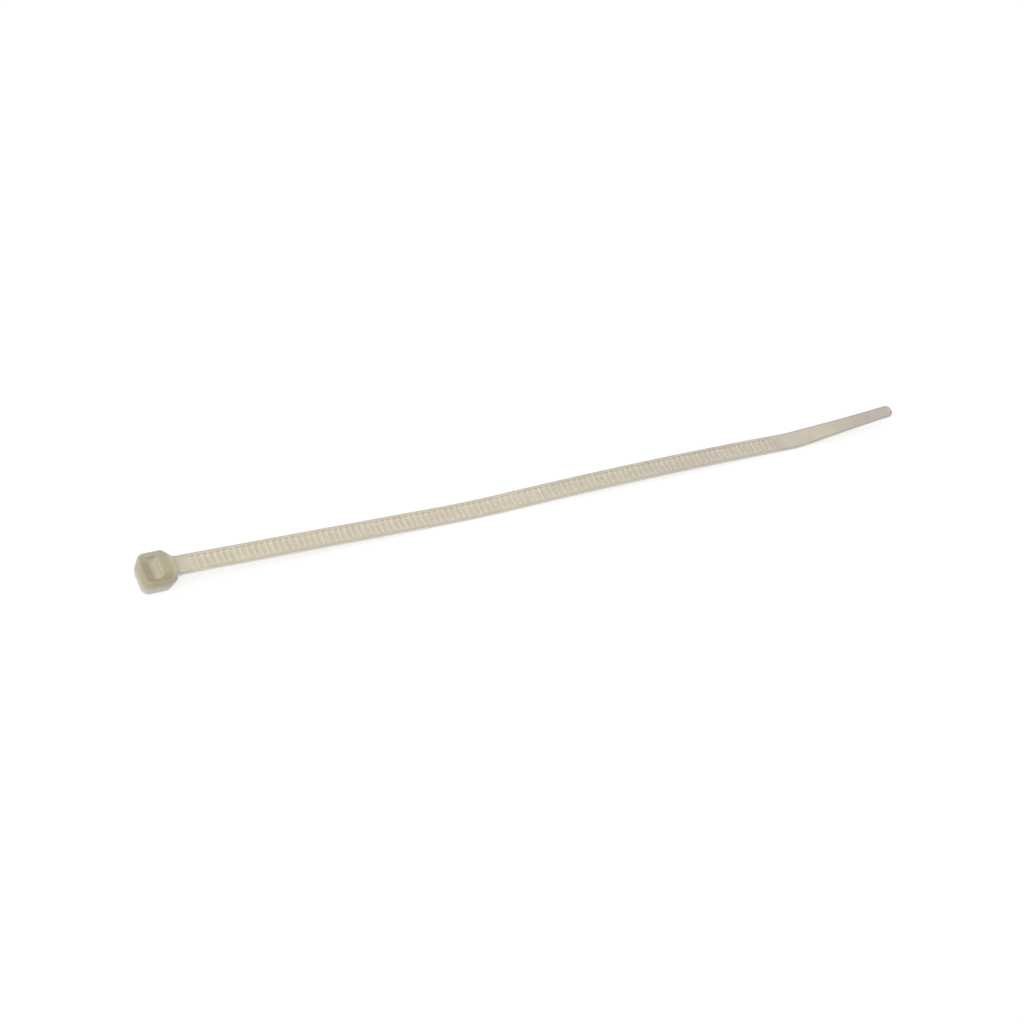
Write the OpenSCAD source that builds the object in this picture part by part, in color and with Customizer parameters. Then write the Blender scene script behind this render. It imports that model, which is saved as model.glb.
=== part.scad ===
// Cable tie of natural nylon, moulded in one piece: a toothed strap with two side rails,
// a locking head with a sprung pawl, and a smooth tapered tail.
// It lies with its teeth up. X runs along the strap, Y across it, Z up.
// The origin is the middle of the head's slot, level with the bench.

/* [Strap] */
// Developed length, from the outer end of the head to the tip of the tail
tie_length = 200; // [150:1:300]
// Width of the strap
strap_width = 4.6; // [4.4:0.1:5.2]
// Thickness of the strap over its rails
strap_thickness = 1; // [0.9:0.05:1.3]
// Radius of the edges along the smooth back
back_edge_radius = 0.4; // [0.1:0.02:0.44]
// Radius of the edges along the rails
rail_edge_radius = 0.16; // [0.05:0.01:0.2]
// Extra thickness under the strap where it leaves the head
root_thickening = 0.1; // [0:0.05:0.7]
// Length over which the root thins down to the strap
root_taper_length = 4; // [2:0.5:6]

/* [Ladder of teeth] */
// Distance from one tooth to the next
tooth_pitch = 1.472; // [1.3:0.001:1.6]
// Height of a tooth from valley to crest
tooth_depth = 0.44; // [0.3:0.02:0.5]
// Drop from the top of the rails to the crests
crest_drop = 0.08; // [0.02:0.01:0.12]
// Width of each side rail
rail_width = 0.6; // [0.5:0.05:0.9]
// Smooth stretch between the head and the first tooth
ladder_gap = 3; // [2.5:0.1:6]
// Teeth over which the ladder grows to its full depth at each end
fade_teeth = 3; // [1:1:6]

/* [Tail] */
// Smooth stretch from the last tooth to the tip
tail_length = 33.5; // [26:0.5:45]
// Length over which the tail narrows
taper_length = 25; // [15:0.5:25]
// How early the tail narrows: 1 is evenly, more is sooner
taper_bow = 1.6; // [1:0.1:2.5]
// Width of the tail where its round end starts
tip_width = 3.2; // [2.6:0.1:4]
// Thickness of the tail at its tip
tip_thickness = 0.8; // [0.7:0.05:1.1]
// Radius of the upper edge round the tip
tip_edge_radius = 0.4; // [0.2:0.02:0.5]

/* [Head] */
// Length of the head along the strap, at the parting line of its outer end
head_length = 8.4; // [7.8:0.1:9]
// Width of the head at its face
head_width = 8.1; // [7.6:0.1:10]
// Height of the head from the bench to its face
head_height = 5.3; // [4.9:0.1:6]
// How much narrower each side is at the bench than at the face
side_draft = 0.85; // [0.1:0.05:0.9]
// How far the outer end draws back above and below its parting line
end_draft = 0.45; // [0.1:0.05:0.6]
// Height of the parting line round the outer end
parting_height = 2.1; // [1.5:0.1:3]
// Drop from the head's face to the top of the strap
face_step = 1.05; // [0.6:0.05:1.2]
// Length of the sloped shoulders towards the strap
shoulder_length = 2.2; // [1.5:0.1:2.6]
// Width of the head's end at the strap, between its shoulders
shoulder_end_width = 5.1; // [5:0.1:6.2]
// Radius of the upright corners at the outer end
outer_corner_radius = 1.6; // [1:0.05:2]
// Radius of the upright corners of the shoulders
shoulder_corner_radius = 0.95; // [0.95:0.05:1.2]
// Radius of the rims of the face and of the base
rim_radius = 0.42; // [0.2:0.02:0.42]

/* [Slot and pawl] */
// Wall of the head behind the smooth back of a strap in the slot
outer_wall = 2.75; // [2.4:0.05:2.9]
// Play of a strap in the slot, on each side
side_play = 0.2; // [0.1:0.02:0.3]
// Play of a strap in the slot, between the outer wall and the lip
thickness_play = 0.3; // [0.2:0.05:0.5]
// Width of the lead-in slope round the slot's entry
lead_in = 0.35; // [0.2:0.05:0.5]
// Height of the lead-in slope
lead_in_height = 0.7; // [0.4:0.05:0.9]
// Height of the lip that the pawl hangs from
lip_height = 1; // [0.8:0.05:1.2]
// Thickness of the pawl's living hinge
hinge_thickness = 0.5; // [0.4:0.05:0.6]
// Thickness of the pawl behind its teeth
pawl_thickness = 0.75; // [0.6:0.05:0.9]
// Number of teeth on the pawl
pawl_teeth = 2; // [1:1:2]
// Height of the pawl's lowest tooth above the bench
pawl_tip_height = 0.85; // [0.7:0.05:1]
// How far the pawl's teeth reach into the ladder
pawl_bite = 0.4; // [0.2:0.05:0.5]
// Gap on each side between the pawl and the rails
pawl_side_gap = 0.15; // [0.1:0.01:0.25]
// Room behind the pawl for it to spring back
spring_room = 0.95; // [0.8:0.05:1.1]

/* [Lie on the bench] */
// Slope of the strap on its way down from the head
drop_angle = 2.9; // [2.3:0.1:4]
// Slope at both ends of the low arch in the strap
arch_angle = 2.4; // [0.5:0.1:3]
// Slope of the tail, which kinks up from the bench
tail_angle = 8.8; // [3:0.1:12]
// Radius of the bend just outside the head
root_bend_radius = 150; // [80:5:200]
// Radius of the bend where the strap meets the bench
bench_bend_radius = 200; // [120:5:250]
// Radius of the kink at the start of the tail
kink_radius = 30; // [15:1:60]
// Length of the tail beyond the kink
raised_length = 26; // [20:0.5:32]

/* [Hidden] */

nylon = [0.83, 0.79, 0.70];

// Clearance by which a cut runs past the face that it opens
overcut = 1;
// Steps of a quarter round in the strap's edges, and sides of a full round in the head
edge_steps = 2;
corner_sides = 32;
rim_sides = 16;
// Longest step along the strap, and the largest turn in one step
station_step = 8;
station_turn = 1.2;
// Steps round half of the tail's end, and the angle at which the end is cut flat
tip_steps = 9;
tip_last_angle = 80;
// Slope of a tooth's locking face, and the flat on its crest
locking_face_run = 0.12;
crest_flat = 0.14;
// Length of the slopes in and out of the ladder
ladder_ramp = 0.6;

// Places along X, from the middle of the slot
slot_length = strap_thickness + thickness_play;
outer_wall_x = -slot_length / 2;
lip_x = slot_length / 2;
head_start_x = outer_wall_x - outer_wall;
head_end_x = head_start_x + head_length;

// Slot, pawl and the room behind it
slot_width = strap_width + 2 * side_play;
ladder_width = strap_width - 2 * rail_width;
crest_height = strap_thickness - crest_drop;
pawl_width = ladder_width - 2 * pawl_side_gap;
pawl_reach_x = outer_wall_x + crest_height - pawl_bite;
hinge_z = head_height - lip_height;
hinge_back_x = lip_x + hinge_thickness;
pawl_back_x = pawl_reach_x + tooth_depth + pawl_thickness;
room_end_x = hinge_back_x + spring_room;

// Underside of the strap where it leaves the head
root_z = head_height - face_step - strap_thickness;

// Length of the ladder, in whole teeth
ladder_start = head_length + ladder_gap;
tooth_count = floor((tie_length - tail_length - ladder_start) / tooth_pitch);
ladder_end = ladder_start + tooth_count * tooth_pitch;

// The strap's path beyond the head, as pieces of [length, turn in degrees]
function arc_length(radius, turn) = radius * turn * PI / 180;
bend_drop = (root_bend_radius + bench_bend_radius) * (1 - cos(drop_angle));
slope_length = (root_z - bend_drop) / sin(drop_angle);
settle_length = (bench_bend_radius - kink_radius) * (1 - cos(arch_angle)) / sin(arch_angle);
root_bend = [arc_length(root_bend_radius, drop_angle), -drop_angle];
slope = [slope_length, 0];
bench_bend = [arc_length(bench_bend_radius, drop_angle + arch_angle), drop_angle + arch_angle];
kink = [arc_length(kink_radius, arch_angle + tail_angle), arch_angle + tail_angle];
arch_length = tie_length - head_length - raised_length - settle_length
    - root_bend[0] - slope_length - bench_bend[0] - kink[0];
arch = [arch_length, -2 * arch_angle];
path = [root_bend, slope, bench_bend, arch, [settle_length, 0], kink, [raised_length, 0]];

// A pose is [x, z, slope]; it moves on by a length that turns by an angle
function moved(pose, length, turn) =
    turn == 0
    ? [pose[0] + length * cos(pose[2]), pose[1] + length * sin(pose[2]), pose[2]]
    : let (radius = length / (turn * PI / 180), after = pose[2] + turn)
        [pose[0] + radius * (sin(after) - sin(pose[2])),
         pose[1] - radius * (cos(after) - cos(pose[2])),
         after];

function walked(pose, length, piece = 0) =
    let (size = path[piece][0], turn = path[piece][1])
    piece == len(path) - 1 || length <= size
    ? moved(pose, length, turn * length / size)
    : walked(moved(pose, size, turn), length - size, piece + 1);

// Pose of the strap's underside at a distance from the outer end of the head
function pose_at(distance) =
    distance <= head_length
    ? [head_start_x + distance, root_z, 0]
    : walked([head_end_x, root_z, 0], distance - head_length);

// Point in the XZ plane at a height above the strap's underside
function above(distance, height) =
    let (pose = pose_at(distance))
    [pose[0] - height * sin(pose[2]), pose[1] + height * cos(pose[2])];

// Share of the tail's narrowing that is done, from 0 to 1
tip_round_start = tie_length - tip_width / 2;
taper_start = tip_round_start - taper_length;
function taper_share(distance) =
    1 - pow(1 - max(0, min(1, (distance - taper_start) / taper_length)), taper_bow);

function width_at(distance) =
    distance > tip_round_start
    ? 2 * sqrt(pow(tip_width / 2, 2) - pow(distance - tip_round_start, 2))
    : strap_width + (tip_width - strap_width) * taper_share(distance);

// The upper edge is rounded off towards the tip as it is along the sides
function tip_drop(distance) =
    let (inside = max(0, distance - (tie_length - tip_edge_radius)))
    tip_edge_radius - sqrt(pow(tip_edge_radius, 2) - pow(inside, 2));

function thickness_at(distance) =
    strap_thickness + (tip_thickness - strap_thickness) * taper_share(distance) - tip_drop(distance);

function thickening_at(distance) =
    root_thickening * pow(max(0, min(1, 1 - (distance - head_length) / root_taper_length)), 2);

// Distances of the strap's cross-sections from the outer end of the head
embed_start = room_end_x - head_start_x + 0.3;
function piece_start(piece) = piece == 0 ? head_length : piece_start(piece - 1) + path[piece - 1][0];
function piece_steps(piece) =
    max(1, ceil(path[piece][0] / station_step), ceil(abs(path[piece][1]) / station_turn));
path_stations = [
    for (piece = [0 : len(path) - 2])
        for (step = [0 : piece_steps(piece) - 1])
            piece_start(piece) + path[piece][0] * step / piece_steps(piece)
];
root_stations = [for (step = [1 : 4]) head_length + root_taper_length * step / 4];
tip_stations = [
    for (step = [0 : tip_steps])
        tip_round_start + tip_width / 2 * sin(tip_last_angle * step / tip_steps)
];
tail_stations = [for (share = [0 : 0.125 : 0.875]) taper_start + taper_length * share];

function without(values, from, to) = [for (value = values) if (value < from || value > to) value];
function sorted(values) =
    len(values) < 2
    ? values
    : let (pivot = values[0])
        concat(sorted([for (value = values) if (value < pivot) value]),
               [pivot],
               sorted([for (value = values) if (value > pivot) value]));
stations = sorted(concat(
    [embed_start],
    without(path_stations, taper_start - 0.2, tie_length),
    root_stations, tail_stations, tip_stations));

// Quarter round of a cross-section, about a centre, from an angle
function quarter_round(centre, radius, from) = [
    for (step = [0 : edge_steps])
        let (angle = from + 90 * step / edge_steps)
        centre + radius * [cos(angle), sin(angle)]
];

// Cross-section as [y, height] points, with a rounded back and rounded rails
function section(width, thickness, thickening, top_radius) =
    let (back = min(back_edge_radius, width / 4, 0.45 * thickness),
         top = min(top_radius, width / 4, thickness / 2),
         side = width / 2)
    concat(
        quarter_round([-side + back, back - thickening], back, 180),
        quarter_round([side - back, back - thickening], back, 270),
        quarter_round([side - top, thickness - top], top, 0),
        quarter_round([-side + top, thickness - top], top, 90));

function top_radius_at(distance) =
    rail_edge_radius + (tip_edge_radius - rail_edge_radius) * taper_share(distance);

function section_points(distance) = [
    for (point = section(width_at(distance), thickness_at(distance),
                         thickening_at(distance), top_radius_at(distance)))
        let (place = above(distance, point[1]))
        [place[0], point[0], place[1]]
];

module strap_blank() {
    ring_size = 4 * (edge_steps + 1);
    last = len(stations) - 1;
    points = [for (distance = stations) each section_points(distance)];
    skin = [
        for (ring = [0 : last - 1])
            for (corner = [0 : ring_size - 1])
                let (next = (corner + 1) % ring_size, a = ring * ring_size, b = a + ring_size)
                [a + corner, b + corner, b + next, a + next]
    ];
    first_end = [for (corner = [0 : ring_size - 1]) corner];
    last_end = [for (corner = [ring_size - 1 : -1 : 0]) last * ring_size + corner];
    polyhedron(points = points, faces = concat(skin, [first_end, last_end]), convexity = 4);
}

// Depth of the valley before a tooth, which grows over the first and last teeth
function valley_height(tooth) =
    crest_height - tooth_depth * min(1, (tooth + 1) / fade_teeth, (tooth_count + 1 - tooth) / fade_teeth);

// Side view of everything above the teeth, between the two rails
module ladder_cut() {
    teeth = [
        for (tooth = [0 : tooth_count - 1])
            let (start = ladder_start + tooth * tooth_pitch)
            each [
                above(start, valley_height(tooth)),
                above(start + locking_face_run, crest_height),
                above(start + locking_face_run + crest_flat, crest_height)
            ]
    ];
    roof = [
        for (tooth = [tooth_count : -6 : 0])
            above(ladder_start + tooth * tooth_pitch, strap_thickness + overcut)
    ];
    ramp_in = [above(ladder_start - ladder_ramp, strap_thickness)];
    ramp_out = [
        above(ladder_end, valley_height(tooth_count)),
        above(ladder_end + ladder_ramp, strap_thickness)
    ];
    over_out = [above(ladder_end + ladder_ramp, strap_thickness + overcut)];
    over_in = [above(ladder_start - ladder_ramp, strap_thickness + overcut)];
    rotate([90, 0, 0])
        linear_extrude(height = ladder_width, center = true)
            polygon(concat(ramp_in, teeth, ramp_out, over_out, roof, over_in));
}

module strap() {
    difference() {
        strap_blank();
        ladder_cut();
    }
}

// Upright round corner whose top and bottom rims are rounded
module corner(x, y, z, radius) {
    translate([x, y, z])
        rotate_extrude($fn = corner_sides)
            translate([radius - rim_radius, 0])
                circle(r = rim_radius, $fn = rim_sides);
}

// The corners of the head's outline at one level
module head_outline(z, inset_side, inset_end) {
    start_x = head_start_x + inset_end;
    end_x = head_end_x;
    side_y = head_width / 2 - inset_side;
    end_y = shoulder_end_width / 2;
    for (side = [-1, 1]) {
        corner(start_x + outer_corner_radius, side * (side_y - outer_corner_radius), z,
               outer_corner_radius);
        corner(end_x - shoulder_length - shoulder_corner_radius / 2,
               side * (side_y - shoulder_corner_radius), z, shoulder_corner_radius);
        corner(end_x - shoulder_corner_radius, side * (end_y - shoulder_corner_radius), z,
               shoulder_corner_radius);
    }
}

module head_block() {
    hull() {
        head_outline(rim_radius, side_draft, end_draft);
        head_outline(parting_height, side_draft * (1 - parting_height / head_height), 0);
        head_outline(head_height - rim_radius, 0, end_draft);
    }
}

// Side view of the slot and of the room behind the pawl
module slot_cut() {
    entry_z = head_height - lead_in_height;
    rotate([90, 0, 0])
        linear_extrude(height = slot_width, center = true)
            polygon([
                [outer_wall_x, -overcut],
                [room_end_x, -overcut],
                [room_end_x, hinge_z - hinge_thickness],
                [room_end_x - hinge_thickness, hinge_z],
                [lip_x, hinge_z],
                [lip_x, head_height + overcut],
                [outer_wall_x, head_height + overcut]
            ]);
    // Lead-in slopes on all four sides of the entry
    intersection() {
        rotate([90, 0, 0])
            linear_extrude(height = head_width, center = true)
                polygon(funnel(outer_wall_x, lip_x, entry_z));
        rotate([90, 0, 90])
            linear_extrude(height = head_length, center = true)
                polygon(funnel(-slot_width / 2, slot_width / 2, entry_z));
    }
}

// Trapezium that widens from the slot to the face, and straight on above it
function funnel(low, high, entry_z) = [
    [low, entry_z],
    [high, entry_z],
    [high + lead_in, head_height],
    [high + lead_in, head_height + overcut],
    [low - lead_in, head_height + overcut],
    [low - lead_in, head_height]
];

// The pawl hangs from the lip and leans into the slot; its locking faces look down
module pawl() {
    tooth_root_x = pawl_reach_x + tooth_depth;
    end_chamfer = 0.25;
    teeth = [
        for (tooth = [pawl_teeth - 1 : -1 : 0])
            let (z = pawl_tip_height + tooth * tooth_pitch)
            each [
                [pawl_reach_x, z + crest_flat],
                [pawl_reach_x, z],
                [tooth_root_x, z - (tooth == 0 ? end_chamfer : locking_face_run)]
            ]
    ];
    rotate([90, 0, 0])
        linear_extrude(height = pawl_width, center = true)
            polygon(concat(
                [[lip_x, hinge_z + lip_height / 3]],
                [[lip_x, hinge_z]],
                teeth,
                [[pawl_back_x - end_chamfer, pawl_tip_height - end_chamfer],
                 [pawl_back_x, pawl_tip_height],
                 [hinge_back_x, hinge_z - hinge_thickness],
                 [hinge_back_x, hinge_z + lip_height / 3]]));
}

module cable_tie() {
    color(nylon) {
        difference() {
            union() {
                head_block();
                strap();
            }
            slot_cut();
        }
        pawl();
    }
}

cable_tie();
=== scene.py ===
"""Cable tie of natural nylon: the moulded tie, the table it lies on, its light and the camera."""

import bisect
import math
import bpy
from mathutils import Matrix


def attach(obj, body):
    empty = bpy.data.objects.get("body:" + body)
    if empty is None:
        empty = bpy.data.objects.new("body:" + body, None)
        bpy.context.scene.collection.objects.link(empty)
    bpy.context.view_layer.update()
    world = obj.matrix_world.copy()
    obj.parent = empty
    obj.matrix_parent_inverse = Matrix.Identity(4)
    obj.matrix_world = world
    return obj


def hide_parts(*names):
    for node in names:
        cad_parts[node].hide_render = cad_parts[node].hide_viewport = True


bl_info = {
    "name": "Cable Tie",
    "version": (1, 0, 0),
    "blender": (4, 5, 0),
    "location": "3D View > Sidebar > Cable Tie",
    "description": "Models a one-piece nylon cable tie as it lies open on a table",
    "category": "Object",
}

import bmesh
import bpy
from bpy.props import FloatProperty, FloatVectorProperty, IntProperty, PointerProperty
from mathutils import Matrix, Vector

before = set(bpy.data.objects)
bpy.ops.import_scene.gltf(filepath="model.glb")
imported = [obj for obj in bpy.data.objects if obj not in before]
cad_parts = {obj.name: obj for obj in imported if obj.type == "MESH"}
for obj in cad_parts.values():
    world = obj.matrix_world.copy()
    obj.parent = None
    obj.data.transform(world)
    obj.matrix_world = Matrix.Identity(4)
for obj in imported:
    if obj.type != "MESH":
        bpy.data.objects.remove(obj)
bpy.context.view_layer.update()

# The settings are in metres, and the pieces are modelled in millimetres

MM = 0.001

# Rounding of the parting line, the slot's entry, the pawl, the teeth and the rails towards the ladder
PARTING_EDGE = 0.05
ENTRY_EDGE = 0.12
PAWL_EDGE = 0.05
TOOTH_EDGE = 0.045
LADDER_EDGE = 0.07

# Lower back corner of the pawl, flat ends of its teeth, and how far each tooth's slope drops, lower one first
PAWL_CHAMFER = 0.25
PAWL_TOOTH_LAND = 0.14
PAWL_TOOTH_SLOPES = (0.25, 0.12)

# How far a cutter reaches past the head, and room for rounding errors where points are picked by place
CUTTER_PAST = 1
PICK_ROOM = 0.01

# Start and end of a tooth's flat crest, from the valley before it
CREST_START = 0.12
CREST_END = 0.26

# Points above this height are on the toothed side, and levels closer than this are the same
TOOTHED_SIDE = 0.3
LEVEL_TOLERANCE = 0.005

# Length over which the last valley rises to the smooth tail
FILLED_RUN = 0.6

# Flare where the strap meets the head, and the rings that shape it, from the head's end
FLARE_RUN = 0.6
FLARE_WIDTH = 0.06
FLARE_HEIGHT = 0.12
ROOT_RINGS = (1.0, 0.6, 0.3, 0.1, -0.1)

# Softened end of the tip, with its share of the thickness, and the height about which the tail gets thinner
TIP_RUN = 0.38
TIP_SHARE = 0.45
THINNING_HEIGHT = 0.4

# Distance in metres over which one tone gives way to the next
SOFT = 0.0001


# Sizes and colours


def metres(name, description, default):
    """A size that a user can change."""
    return FloatProperty(name=name, description=description, default=default, unit="LENGTH")


def degrees(name, description, default):
    """A slope that a user can change."""
    return FloatProperty(name=name, description=description, default=math.radians(default), subtype="ANGLE")


def paint(name, description, default):
    """A colour that a user can change."""
    return FloatVectorProperty(name=name, description=description, default=default, subtype="COLOR")


class TieStrapSizes(bpy.types.PropertyGroup):
    """Sizes of the strap, its ladder of teeth and its tail"""

    length: metres("Length", "From the head's outer end to the tip", 0.2)
    width: metres("Width", "Width of the strap", 0.0046)
    thickness: metres("Thickness", "Thickness over the rails", 0.001)
    back_radius: metres("Back radius", "Rounding along the smooth back", 0.0004)
    rail_radius: metres("Rail radius", "Rounding along the rails", 0.00016)
    rail_width: metres("Rail width", "Width of each side rail", 0.0006)
    root_thickening: metres("Root thickening", "Extra thickness at the head", 0.0001)
    root_taper: metres("Root taper", "Length of the thicker root", 0.004)
    tooth_pitch: metres("Tooth pitch", "From one tooth to the next", 0.001472)
    tooth_depth: metres("Tooth depth", "From valley to crest", 0.00044)
    crest_drop: metres("Crest drop", "From the rails to the crests", 0.00008)
    ladder_gap: metres("Ladder gap", "Smooth stretch after the head", 0.003)
    fade_teeth: IntProperty(
        name="Fading teeth", description="Teeth over which the ladder grows", default=3, min=1
    )
    tail_length: metres("Tail length", "Smooth stretch before the tip", 0.0335)
    taper_length: metres("Taper length", "Length over which the tail narrows", 0.025)
    tip_width: metres("Tip width", "Width where the round end starts", 0.0032)
    tip_thickness: metres("Tip thickness", "Thickness at the tip", 0.0008)
    taper_bow: FloatProperty(
        name="Taper bow", description="1 narrows evenly, more narrows sooner", default=1.6
    )


class TieHeadSizes(bpy.types.PropertyGroup):
    """Sizes of the head, its slot and its pawl"""

    length: metres("Length", "Length along the strap", 0.0084)
    width: metres("Width", "Width at the face", 0.0081)
    height: metres("Height", "Height of the face above the table", 0.0053)
    side_draft: metres("Side draft", "How much narrower each side is below", 0.00085)
    end_draft: metres("End draft", "How far the outer end draws back", 0.00045)
    parting_height: metres("Parting height", "Height of the parting line", 0.0021)
    face_step: metres("Face step", "From the face down to the strap", 0.00105)
    shoulder_length: metres("Shoulder length", "Length of the sloped shoulders", 0.0022)
    neck_width: metres("Neck width", "Width between the shoulders' ends", 0.0051)
    neck_draft: metres("Neck draft", "How much narrower the neck is at the base", 0.0005)
    face_draft: metres("Face draft", "How far the face ends before the neck", 0.0005)
    corner_radius: metres("Corner radius", "Upright corners at the outer end", 0.0016)
    shoulder_radius: metres("Shoulder radius", "Upright corners of the shoulders", 0.00095)
    rim_radius: metres("Rim radius", "Rounding of the face's and base's rims", 0.00042)
    outer_wall: metres("Outer wall", "Wall between the slot and the outer end", 0.00275)
    slot_length: metres("Slot length", "Opening of the slot along the strap", 0.0013)
    slot_width: metres("Slot width", "Opening of the slot across the strap", 0.005)
    lead_in: metres("Lead-in", "Width of the slope round the entry", 0.00035)
    lead_in_height: metres("Lead-in height", "Height of the slope round the entry", 0.0007)
    lip_height: metres("Lip height", "Lip that the pawl hangs from", 0.001)
    hinge_thickness: metres("Hinge thickness", "Thickness of the living hinge", 0.0005)
    pawl_thickness: metres("Pawl thickness", "Thickness behind the pawl's teeth", 0.00075)
    pawl_tip_height: metres("Pawl tip height", "Lowest tooth above the table", 0.00085)
    pawl_bite: metres("Pawl bite", "Reach of the pawl's teeth into the ladder", 0.0004)
    pawl_side_gap: metres("Pawl side gap", "Gap between the pawl and the rails", 0.00015)
    spring_room: metres("Spring room", "Room behind the pawl", 0.00095)


class TieLie(bpy.types.PropertyGroup):
    """How the strap runs from the head to the table and up to its tip"""

    drop_angle: degrees("Drop", "Slope down from the head", 2.9)
    arch_angle: degrees("Arch", "Slope at both ends of the low arch", 2.4)
    tail_angle: degrees("Tail", "Slope of the kinked tail", 8.8)
    root_radius: metres("Root bend", "Bend just outside the head", 0.15)
    table_radius: metres("Table bend", "Bend where the strap meets the table", 0.2)
    kink_radius: metres("Kink", "Bend at the start of the tail", 0.03)
    raised_length: metres("Raised length", "Tail beyond the kink", 0.026)


class TieColours(bpy.types.PropertyGroup):
    """Colours of the nylon and of the table"""

    strap: paint("Strap", "Crests and the tip", (0.537, 0.497, 0.424))
    # Painted light: the valleys' paler colour stands in for light through the thin nylon between the teeth
    valley: paint("Valleys", "Thin nylon between the teeth", (0.82, 0.735, 0.585))
    core: paint("Head's core", "Thick nylon round the slot", (0.365, 0.322, 0.217))
    # The head is paler towards its rims, partly as painted light, which is stronger on the far side
    head: paint("Head", "Thinner nylon towards its rims", (0.445, 0.400, 0.290))
    slot: paint("Slot", "Light that comes through the slot's walls", (0.52, 0.495, 0.41))
    # Painted shade: a grey line along the strap's edges
    rim: paint("Rim", "Tone along the strap's edges", (0.36, 0.365, 0.345))
    # Painted light: the strap's upright walls are paler, as lit from the table below
    wall: paint("Strap's walls", "Upright walls of the strap", (0.66, 0.65, 0.58))
    # Painted light: this paler colour goes on the head's upright walls, lower down most, and on its far side
    block: paint("Head's walls", "Upright walls and the cloudy side of the head", (0.54, 0.535, 0.465))
    # Painted light: the face is paler where light comes through it, towards the strap and on the slot's lip
    neck: paint("Neck", "Face where it meets the strap", (0.588, 0.514, 0.39))
    table: paint("Table", "Plain pale table", (0.90, 0.90, 0.90))


def sizes(name):
    """The scene's settings of one group."""
    return getattr(bpy.context.scene, name)


# Working in edit mode


def deselect():
    """Leaves nothing selected, so that an operator acts only on the new piece."""
    if bpy.context.mode != "OBJECT":
        bpy.ops.object.mode_set(mode="OBJECT")
    for one in bpy.context.selected_objects:
        one.select_set(False)


def choose(piece):
    """Makes a piece the only selected one and the active one."""
    deselect()
    piece.select_set(True)
    bpy.context.view_layer.objects.active = piece


def edit(piece, kind="FACE"):
    """Enters edit mode on a piece with nothing selected."""
    choose(piece)
    bpy.ops.object.mode_set(mode="EDIT")
    bpy.ops.mesh.select_mode(type=kind)
    bpy.ops.mesh.select_all(action="DESELECT")


def leave():
    """Goes back to object mode."""
    bpy.ops.object.mode_set(mode="OBJECT")


def pick(piece, kind, test):
    """Selects the vertices, edges or faces that pass a test, and nothing else."""
    bpy.ops.mesh.select_mode(type=kind)
    bpy.ops.mesh.select_all(action="DESELECT")
    mesh = bmesh.from_edit_mesh(piece.data)
    chosen = [one for one in {"VERT": mesh.verts, "EDGE": mesh.edges, "FACE": mesh.faces}[kind] if test(one)]
    if not chosen:
        raise RuntimeError(f"nothing to pick on {piece.name}")
    for one in chosen:
        one.select_set(True)
    mesh.select_flush_mode()
    bmesh.update_edit_mesh(piece.data)


def middle(edge):
    """Middle point of an edge."""
    return (edge.verts[0].co + edge.verts[1].co) / 2


def near(value, target, reach=1e-3):
    """True where two lengths in millimetres are the same."""
    return abs(value - target) < reach


def bevel(width, segments):
    """Rounds the selected edges."""
    bpy.ops.mesh.bevel(
        offset_type="OFFSET", offset=width, segments=segments, affect="EDGES", clamp_overlap=True
    )


def extrude(x=0, y=0, z=0):
    """Extrudes what is selected and moves it."""
    bpy.ops.mesh.extrude_region_move(TRANSFORM_OT_translate={"value": (x, y, z)})


def merge(reach=1e-4):
    """Merges doubled points and turns all faces outwards."""
    bpy.ops.mesh.select_all(action="SELECT")
    bpy.ops.mesh.remove_doubles(threshold=reach)
    bpy.ops.mesh.select_all(action="SELECT")
    bpy.ops.mesh.normals_make_consistent(inside=False)


def apply_modifier(piece, modifier):
    """Applies one modifier of a piece."""
    choose(piece)
    bpy.ops.object.modifier_apply(modifier=modifier.name)


def boolean(piece, other, operation):
    """Cuts or joins another piece, which is then deleted."""
    modifier = piece.modifiers.new("Boolean", "BOOLEAN")
    modifier.operation = operation
    modifier.solver = "EXACT"
    modifier.material_mode = "TRANSFER"
    modifier.object = other
    apply_modifier(piece, modifier)
    bpy.data.objects.remove(other)


def flat_piece(name, places):
    """A flat face with its corners at the given places."""
    deselect()
    bpy.ops.mesh.primitive_circle_add(vertices=len(places), radius=1, fill_type="NGON", location=(0, 0, 0))
    piece = bpy.context.object
    piece.name = name
    for vertex, place in zip(piece.data.vertices, places):
        vertex.co = place
    return piece


def cube_piece(name, place, size):
    """A box with its middle at a place."""
    deselect()
    bpy.ops.mesh.primitive_cube_add(size=1, location=place, scale=size)
    piece = bpy.context.object
    piece.name = name
    bpy.ops.object.transform_apply(location=True, rotation=True, scale=True)
    return piece


def profile_piece(name, points, width):
    """A closed side view, extruded to both sides of the middle plane."""
    piece = flat_piece(name, [(x, -width / 2, z) for x, z in points])
    edit(piece)
    bpy.ops.mesh.select_all(action="SELECT")
    extrude(y=width)
    merge()
    leave()
    return piece


# The path that the strap lies along


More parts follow.
